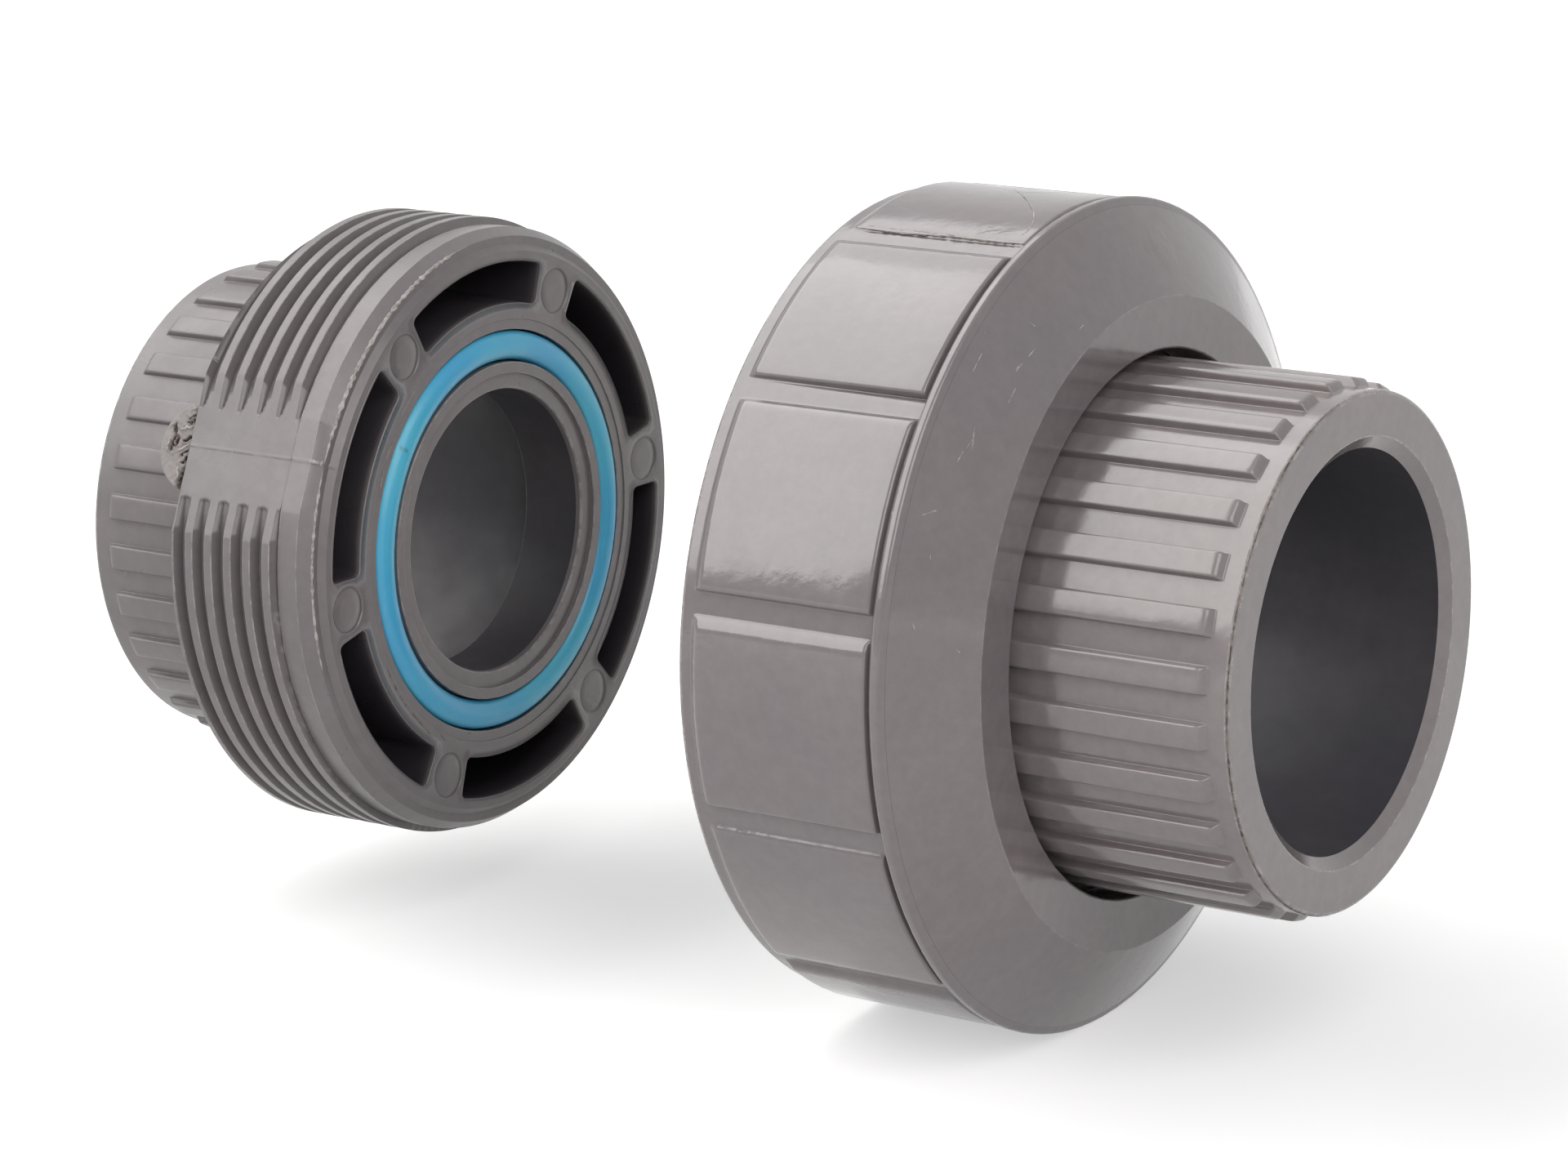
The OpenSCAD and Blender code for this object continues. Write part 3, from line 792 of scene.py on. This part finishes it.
def panels():
    """Stations, radii, edges and angles of the nut's twelve grip panels."""
    # from the middle of a strip: a sharp lower edge on one side, a soft upper edge on the other
    sharp = [(0.9, 0), (1.3, 0), (1.52, 0), (1.58, 0.06), (1.64, 0.25), (1.72, 0.5), (1.82, 0.72),
             (1.98, 0.87), (2.2, 0.95), (2.6, 0.99), (3.2, 1), (4, 1), (5.5, 1), (8, 1), (11, 1)]
    soft = [(0.9, 0), (1.35, 0), (1.6, 0.02), (1.75, 0.14), (1.95, 0.34), (2.2, 0.56), (2.5, 0.75),
            (2.85, 0.88), (3.2, 0.96), (3.55, 0.995), (4.0, 1), (5.5, 1), (8, 1), (11, 1)]
    strip = [(-off, rise) for off, rise in reversed(sharp)] + [(0, 0)] + soft + [(15, 1)]
    deg = np.concatenate([[PANEL_TURN + 30 * i + off for off, rise in strip] for i in range(12)])
    share = np.tile([rise for off, rise in strip], 12)
    crisp = np.tile([1.0 if off < 0 else 0.12 for off, rise in strip], 12)
    # along the axis: a soft rise at the back and a sharp fall before the bead
    rise = [(0, 0), (0.08, 0.02), (0.25, 0.2), (0.55, 0.5), (0.85, 0.76), (1.1, 0.92), (1.3, 0.985),
            (1.6, 1)]
    fall = [(0, 0), (0.03, 0.06), (0.1, 0.33), (0.18, 0.62), (0.28, 0.84), (0.42, 0.96), (0.65, 1)]
    start = NUT_BACK + 1.7
    end = SHOULDER - 2.15
    span = list(np.linspace(start + 1.6, end - 1.1, 9)[1:-1])
    x = np.array([start + off for off, high in rise] + span + [end - off for off, high in reversed(fall)])
    high = np.array([high for off, high in rise] + [1] * len(span) + [high for off, high in reversed(fall)])
    last = np.array([0.12] * (len(rise) + len(span)) + [0.6] * len(fall))
    full = high[:, None] * share[None, :]
    # a groove under the second panel, which deepens towards the bead and is darkened with painted shade
    groove = bell(deg, 137.72, 0.26)[None, :] * np.clip((x - start) / (end - start), 0, 1)[:, None]
    # painted shade at the feet of the panels: strong under their sharp lower sides and before the bead,
    # faint at their soft sides and back
    foot_shade = np.maximum(hump(share, 0.15, 0.15) * crisp * (high[:, None] > 0.5),
                      (hump(high, 0.08, 0.08) * last)[:, None] * (share > 0.5))
    edge = 0.25 * hump(full, 0.93, 0.09) - 1.0 * np.maximum(foot_shade, 1.1 * groove)
    return x[:, None], NUT_R + PANEL_H * (full * (1 - thinning(deg))) - 0.45 * groove, edge, deg


def nut_thread(shell):
    """The inside thread, which runs out through the bevel at the mouth and into the relief behind."""
    run = (NUT_HIGH - NUT_LOW) * FLANK
    top = (CREST_W + 2 * SIDE_GAP - 2 * (NUT_HIGH - CREST_R) * FLANK) / 2
    outline = rounded([(PITCH / 2, NUT_LOW), (top + run, NUT_LOW, 0.12), (top, NUT_HIGH, 0.12),
                       (-top, NUT_HIGH, 0.12), (-top - run, NUT_LOW, 0.12), (-PITCH / 2, NUT_LOW)],
                      steps=2, hold=0.05)[::-1]
    screw_grid(shell, outline, THREAD_MOUTH, THREAD_END, np.arange(-24, 336.1, 2.0), -1)
    ring = np.arange(-24, 336, 2.0)
    x = np.linspace(THREAD_MOUTH, BEVEL_FOOT, 12)[:, None] + 0 * ring
    shell.grid(x, np.maximum(inside_thread(outline, x, ring), NUT_LOW + THREAD_MOUTH - x), ring[None, :])
    x = np.full((2, len(ring)), THREAD_END)
    wall = np.stack([0 * ring + END_WALL_R, inside_thread(outline, x[0], ring)])
    shell.grid(x, wall, ring[None, :])


def union_nut():
    """The nut: back, panels, bead, cone, ring, hole and relief in one grid, and the inside thread."""
    shell = Shell()
    back = rounded([(BEVEL_FOOT, 41.0), (NUT_BACK, 41.3, 0.25), (NUT_BACK, NUT_R, 0.5),
                    (NUT_BACK + 1.5, NUT_R)])
    front = rounded([(SHOULDER - 1.95, NUT_R), (SHOULDER - 1.74, NUT_R, 0.1),
                     (SHOULDER - 1.62, NUT_R + BEAD_H, 0.5), (SHOULDER - 0.45, NUT_R + BEAD_H, 0.45),
                     (SHOULDER, NUT_R, 0.25), ((SHOULDER + NUT_TIP) / 2, (NUT_R + RING_R) / 2),
                     (NUT_TIP, RING_R, 0.35), (NUT_TIP, HOLE_R, 0.35), (SHOULDER + 3, HOLE_R),
                     (SHOULDER, HOLE_R, 0.3), (SHOULDER, RELIEF_R, 0.3), (THREAD_END, RELIEF_R, 0.2),
                     (THREAD_END, END_WALL_R)])
    *panel_rows, ring = panels()
    x, r, deg, edge = stacked([(back[:, :1], back[:, 1:2], back[:, 2:3]), panel_rows,
                               (front[:, :1], front[:, 1:2], front[:, 2:3])], ring)
    edge = np.where((x > SHOULDER - 2) & (edge > 0), np.where(x < SHOULDER + 1, 0.2, 0.6) * edge, edge)
    # the panels bow by a few hundredths
    r += 0.03 * wobble(31, x * 0.12, deg * 0.05) * (r > 49.5)
    # painted shade in the nut's hole and in the relief behind its thread
    in_hole = (r < HOLE_R + 0.2) & (x < NUT_TIP - 0.8)
    in_relief = (r < RELIEF_R + 0.1) & (x > NUT_BACK + 1) & (x < SHOULDER + 0.1)
    shell.grid(x, r, deg, edge, hollow_shade=np.where(in_hole, 0.75, np.where(in_relief, 0.85, 0.0)))
    nut_thread(shell)
    shell.make("nut_body", nut_skin, "nut", ["union_nut"])


threaded_half()
seal()
plain_half()
union_nut()


# torn gate, scratches and flash

def closeness(u, v, stroke, widen=1.0):
    """How close points come to a stroke (u0, v0, u1, v1, half width): 1 on it, 0 beyond its width."""
    u0, v0, u1, v1, half = stroke
    du, dv = u1 - u0, v1 - v0
    share = np.clip(((u - u0) * du + (v - v0) * dv) / (du * du + dv * dv), 0, 1)
    return np.clip(1.3 * (1 - np.hypot(u - u0 - share * du, v - v0 - share * dv) / (half * widen)), 0, 1)


def torn_gate():
    """The moulding gate: a half round pad behind the thread, with the plastic torn off across it."""
    rents = [(-4.0, -2.4, -3.5, -1.1, 0.34), (-3.6, -1.5, -3.9, 0.5, 0.38), (-3.0, -0.9, -3.3, 0.2, 0.28),
             (-0.3, -5.4, -0.9, -3.1, 0.42), (-1.9, -3.6, -0.9, -4.2, 0.22), (-2.0, -2.9, -0.4, -3.6, 0.24),
             (-1.9, 1.3, -0.6, 0.2, 0.22), (-1.6, 2.2, -0.4, 1.1, 0.26), (-0.5, 1.2, -0.8, 3.4, 0.5),
             (-0.9, 3.0, -1.3, 5.3, 0.52), (-2.2, -0.4, -1.0, -1.2, 0.2)]
    slivers = [(-3.0, -1.9, -1.2, -2.5, 0.2), (-2.4, 0.6, -0.8, -0.3, 0.2), (-1.9, -4.6, -1.2, -4.9, 0.18),
               (-4.4, -0.6, -4.2, 0.9, 0.2), (-2.0, 2.9, -1.6, 4.1, 0.2), (-0.6, -2.6, -0.2, -1.0, 0.22)]
    parting = math.radians(PARTING)
    out = np.array([0, math.cos(parting), math.sin(parting)])
    along = np.array([0, -math.sin(parting), math.cos(parting)])
    turn = np.radians(np.arange(90, 271, 1.5))
    rim = GATE_R - np.array([0.42, 0.3, 0.18, 0.09, 0.03, 0, 0, 0])
    rim_drop = [0.0, 0.02, 0.07, 0.16, 0.3, 0.5, 2.5, 7.0]
    flat = np.arange(0.1, GATE_R - 0.5, 0.11)
    radius = np.concatenate([flat, rim])
    drop = np.concatenate([np.zeros(len(flat)), rim_drop])[:, None]
    u = radius[:, None] * np.cos(turn)
    v = radius[:, None] * np.sin(turn)
    torn_u = u + 0.16 * wobble(61, u * 3.1, v * 3.7)
    torn_v = v + 0.16 * wobble(62, u * 4.3, v * 2.9)
    rent = np.max([closeness(torn_u, torn_v, stroke) for stroke in rents], axis=0)
    rent = rent * (0.75 + 0.35 * wobble(63, u * 6, v * 7))
    whole = 1 - rent.clip(0, 1)
    sliver = np.max([closeness(torn_u, torn_v, stroke) for stroke in slivers], axis=0) * whole
    around = np.max([closeness(torn_u, torn_v, stroke, 3.2) for stroke in rents], axis=0)
    high = GATE_TOP - drop - 0.55 * rent.clip(0, 1) + 0.28 * sliver
    high = high + (0.015 + 0.09 * around) * wobble(64, u * 5, v * 6) + 0.2 * around * whole
    points = np.stack([u, 0 * u, 0 * u], -1) + high[..., None] * out + v[..., None] * along
    points = (np.array([BAND_BACK, 0, 0]) + points).reshape(-1, 3)
    shell = Shell()
    shell.add(points, quads(*u.shape), (sliver - 1.3 * rent).reshape(-1))
    shell.make("gate_pad", torn_skin, "threaded_half", weld=0)


def strip(shell, centre, up, half, lift, seed):
    """A slim ragged strip along the points of centre, lifted in its middle."""
    count = len(centre)
    share = np.linspace(0, 1, count)
    across = np.cross(up, np.gradient(centre, axis=0))
    across /= np.linalg.norm(across, axis=1, keepdims=True)
    ragged = 1 + 0.45 * wobble(seed, share * count * 0.9)
    width = (half * ragged * np.minimum(1, 6 * np.minimum(share, 1 - share) + 0.15))[:, None]
    rows = [centre - across * width + 0.15 * lift * up, centre + lift * up,
            centre + across * width + 0.15 * lift * up]
    shell.add(np.concatenate(rows), quads(3, count), 0.0)


def follow(spine, steps):
    """Even points along a line of corners given as pairs."""
    spine = np.array(spine, float)
    at = np.linspace(0, len(spine) - 1, steps)
    return (np.interp(at, range(len(spine)), spine[:, k]) for k in (0, 1))


def round_strip(shell, spine, radius, half, lift, seed, steps, tilt=0.0):
    """A strip on a round surface, leaning towards +X by tilt.

    spine holds x and degrees, and radius is a number or a function of both."""
    x, deg = follow(spine, steps)
    r = radius(x, deg) if callable(radius) else radius
    strip(shell, polar(x, deg, r), polar(tilt, deg, math.sqrt(1 - tilt ** 2)), half, lift, seed)


def face_strip(shell, spine, x, half, lift, seed, steps=40):
    """A strip on a flat face at x: spine holds degrees and radius."""
    deg, r = follow(spine, steps)
    strip(shell, polar(x, deg, r), np.tile([1.0, 0, 0], (steps, 1)), half, lift, seed)


def nut_outside(x, deg):
    """Radius of the nut's outside at x: a panel or the cone."""
    cone = NUT_R - (x - SHOULDER) / (NUT_TIP - SHOULDER) * (NUT_R - RING_R)
    return np.where(x > SHOULDER, cone, NUT_R + PANEL_H * (1 - thinning(deg)))


def torn_side(x, deg):
    """Radius on the sharp lower side of the top panel, whose strip is at 109.2 degrees."""
    rise = np.interp(109.2 - deg, [1.55, 1.64, 1.82, 2.2, 3.2], [0, 0.25, 0.72, 0.95, 1])
    return NUT_R + PANEL_H * (1 - thinning(deg)) * rise


def nut_marks():
    """Scratches on the cone, a curl on the top panel and the torn edge of that panel."""
    # scratches on the cone: distance from the shoulder and angle, at both ends
    scratches = [(0.97, 128.2, 1.0, 131.7), (3.79, 121.4, 3.7, 123.6), (3.6, 125.0, 3.48, 127.0),
                 (4.0, 129.2, 4.01, 132.2), (2.75, 140.3, 2.6, 142.0), (2.45, 142.6, 2.29, 144.6),
                 (2.59, 138.5, 2.99, 142.0), (2.6, 118.6, 3.0, 118.4), (5.3, 111.9, 5.3, 110.2),
                 (0.96, 153.4, 1.94, 152.0), (1.53, 167.8, 1.82, 168.9), (0.48, 125.2, 0.46, 126.1),
                 (3.44, 125.5, 3.47, 126.7), (2.1, 158.3, 2.2, 159.0), (4.7, 171.5, 5.0, 172.1)]
    shell = Shell()
    for i, (x0, deg0, x1, deg1) in enumerate(scratches):
        line = [(SHOULDER + x0, deg0), (SHOULDER + x1, deg1)]
        round_strip(shell, line, nut_outside, 0.065, 0.02, 70 + i, 14, 0.84)
    # a fine pale curl on the top panel, from the shoulder backwards
    curl = [(-14.8, 86.2), (-12.3, 89.2), (-9.7, 92.5), (-7.4, 95.6), (-5.8, 98.0), (-4.5, 100.4),
            (-3.9, 102.4), (-3.6, 104.0), (-3.8, 105.3)]
    round_strip(shell, [(SHOULDER + x, deg) for x, deg in curl], nut_outside, 0.06, 0.02, 90, 40)
    # pale shreds along the torn edge
    shreds = [(3.0, 5.5, 106.7), (7.2, 9.0, 106.9), (10.5, 13.8, 106.8), (15.0, 16.2, 106.9)]
    for i, (x0, x1, deg) in enumerate(shreds):
        line = [(NUT_BACK + x0, deg), (NUT_BACK + x1, deg + 0.1)]
        round_strip(shell, line, torn_side, 0.1, 0.05, 100 + i, 24)
    shell.make("nut_scratches", scar_skin, "nut", weld=0)
    shell = Shell()
    line = [(NUT_BACK + 2.6, 107.35), (NUT_BACK + 9, 107.5), (NUT_BACK + 16, 107.3), (NUT_BACK + 22, 107.4),
            (SHOULDER - 2.4, 107.35)]
    round_strip(shell, line, torn_side, 0.2, 0.04, 95, 110)
    shell.make("nut_torn_edge", stain_skin, "nut", weld=0)


def bevel_radius(x, deg):
    """Radius of the long front bevel."""
    return np.interp(x, [SEAT - 1.85, SEAT - 0.82], [39.17, 38.52])


def half_marks():
    """Flash, scuffs and scores of the threaded half, and the flash at the plain end's mouth."""
    # flash on the front corner of the threaded half, thick above the parting line and thin below it
    corner = SEAT - 0.82
    shell = Shell()
    round_strip(shell, [(corner, 97), (corner, PARTING)], 38.52, 0.23, 0.09, 110, 170, 0.5)
    round_strip(shell, [(corner, PARTING + 1.2), (corner, 196)], 38.5, 0.15, 0.06, 111, 110, 0.5)
    ledge = [(corner, PARTING), (SEAT - 1.85, PARTING - 0.05), (SEAT - 2.9, PARTING - 0.1)]
    round_strip(shell, ledge, bevel_radius, 0.2, 0.16, 112, 30)
    # scuffs on the ring outside the seal
    scuffs = [[(142, 27.5), (150, 27.7)], [(128, 28.0), (137, 27.9)], [(151.5, 27.6), (157, 27.4)]]
    for i, arc in enumerate(scuffs):
        face_strip(shell, arc, SEAT - 0.01, 0.07, 0.02, 114 + i)
    shell.make("threaded_flash", scar_skin, "threaded_half", weld=0)
    # dark scores on the face at the lower left
    shell = Shell()
    scores = [[(205, 28.1), (217, 28.3), (228, 28.4), (236, 28.9)], [(238, 27.9), (242, 28.6)]]
    for i, arc in enumerate(scores):
        face_strip(shell, arc, SEAT, 0.08, 0.015, 120 + i)
    shell.make("threaded_scores", stain_skin, "threaded_half", weld=0)
    # brown flash where the plain end's band meets its end face
    shell = Shell()
    line = [(TIP - 0.17, deg) for deg in range(96, 262, 4)]
    round_strip(shell, line, HUB_R - 0.06, 0.1, 0.03, 97, 320, 0.5)
    shell.make("plain_flash_line", stain_skin, "plain_half", weld=0)


torn_gate()
nut_marks()
half_marks()


# camera, light, floor

FOCAL = 6185.2
PHOTO_WIDTH = 1920
SENSOR = 36
SPOT = Vector((395.53, -513.94, 152.22))
AIM = Vector((53.873, 0.0, -2.136))
ROLL = math.radians(-0.8245)

camera = bpy.data.objects.new("camera", bpy.data.cameras.new("camera"))
bpy.context.scene.collection.objects.link(camera)
camera.data.sensor_width = SENSOR
camera.data.lens = FOCAL * SENSOR / PHOTO_WIDTH
camera.data.clip_start = 0.05
camera.data.clip_end = 20
look = (AIM - SPOT).to_track_quat("-Z", "Y").to_matrix() @ Matrix.Rotation(ROLL, 3, "Z")
camera.matrix_world = Matrix.Translation(SPOT / 1000) @ look.to_4x4()
bpy.context.scene.camera = camera


def lamp(name, at, along, ahead, size, radiance, colour):
    """A soft box that looks ahead, its first side along, as bright as radiance says at any size."""
    data = bpy.data.lights.new(name, "AREA")
    data.shape = "RECTANGLE"
    data.size = size[0]
    data.size_y = size[1]
    data.energy = radiance * math.pi * size[0] * size[1]
    data.color = colour
    light = bpy.data.objects.new(name, data)
    bpy.context.scene.collection.objects.link(light)
    z = -Vector(ahead).normalized()
    x = Vector(along)
    x = (x - z * x.dot(z)).normalized()
    y = z.cross(x)
    light.matrix_world = Matrix.Translation(at) @ Matrix([[x[i], y[i], z[i]] for i in range(3)]).to_4x4()


# the key's picture in the nut runs from the second panel down to just above the third panel's lower edge,
# and the weaker lamp above it fades that picture out towards the top
target = Vector((0.06, 0, 0.02))
key_way = Vector((-0.537, -0.299, 0.789))
key_long = Vector((0, -0.935, -0.354))
key_wide = Vector((-0.843, 0.190, -0.502))
middle = target + 1.2 * key_way + 0.1 * key_wide
lamp("key", middle + 0.15 * key_long, key_long, -key_way, (2.12, 0.76), 3.45, (1.0, 0.985, 0.97))
lamp("key_top", middle - 1.31 * key_long, key_long, -key_way, (0.8, 0.76), 1.9, (1.0, 0.985, 0.97))
lamp("fill", (1.2, -0.75, 1.0), (1, 1, 0), (-1.14, 0.75, -1.0), (1.4, 1.4), 2.75, (1.0, 0.97, 0.97))


def seen(nodes, *rays):
    """1 for the named kinds of ray, 0 for the rest."""
    path = nodes.node("ShaderNodeLightPath")
    share = path.outputs[rays[0]]
    for ray in rays[1:]:
        share = nodes.math("MAXIMUM", share, path.outputs[ray])
    return share


def paper():
    """The floor's paper, which also glows for the camera and in reflections, so that it looks white there.

    The glow grows away from the object, where the lamps no longer reach, so it is white from every side."""
    nodes = Nodes(bpy.data.materials.new("paper"))
    nodes.tree.nodes.clear()
    grain = nodes.node("ShaderNodeTexNoise", {"Scale": 400})
    tint = nodes.node("ShaderNodeMapRange", {"Value": grain.outputs["Fac"], "To Min": 0.70, "To Max": 0.74})
    diffuse = nodes.node("ShaderNodeBsdfDiffuse", {"Color": tint.outputs["Result"]})
    place = nodes.node("ShaderNodeTexCoord")
    distance = nodes.node("ShaderNodeVectorMath", {0: place.outputs["Object"]}, operation="LENGTH")
    further = nodes.ramp(distance.outputs["Value"], 0.35, 1.5, 0.5, 1.0)
    strength = nodes.math("MULTIPLY", seen(nodes, "Is Camera Ray", "Is Glossy Ray"), further)
    glow = nodes.node("ShaderNodeEmission", {"Strength": strength})
    both = nodes.node("ShaderNodeAddShader", {0: diffuse.outputs[0], 1: glow.outputs[0]})
    nodes.node("ShaderNodeOutputMaterial", {"Surface": both.outputs[0]})
    return nodes.owner


def lay_floor():
    """A wide plain floor just under the object."""
    mesh = bpy.data.meshes.new("floor")
    low = min(cad_box[0][2], -0.051)
    mesh.from_pydata([(-4, -4, low), (4, -4, low), (4, 4, low), (-4, 4, low)], [], [(0, 1, 2, 3)])
    mesh.materials.append(paper())
    floor = bpy.data.objects.new("floor", mesh)
    bpy.context.scene.collection.objects.link(floor)


def studio():
    """A world that is white for the camera, in reflections and through glass, else a weak even light."""
    nodes = Nodes(bpy.data.worlds.new("studio"))
    nodes.tree.nodes.clear()
    weak = nodes.node("ShaderNodeBackground", {"Color": (0.95, 0.975, 1.0, 1), "Strength": 0.18})
    white = nodes.node("ShaderNodeBackground", {"Color": (1, 1, 1, 1), "Strength": 1.0})
    share = seen(nodes, "Is Camera Ray", "Is Glossy Ray", "Is Transmission Ray")
    pick = nodes.node("ShaderNodeMixShader", {0: share, 1: weak.outputs[0], 2: white.outputs[0]})
    nodes.node("ShaderNodeOutputWorld", {"Surface": pick.outputs[0]})
    bpy.context.scene.world = nodes.owner


lay_floor()
studio()
bpy.context.scene.view_settings.view_transform = "Standard"
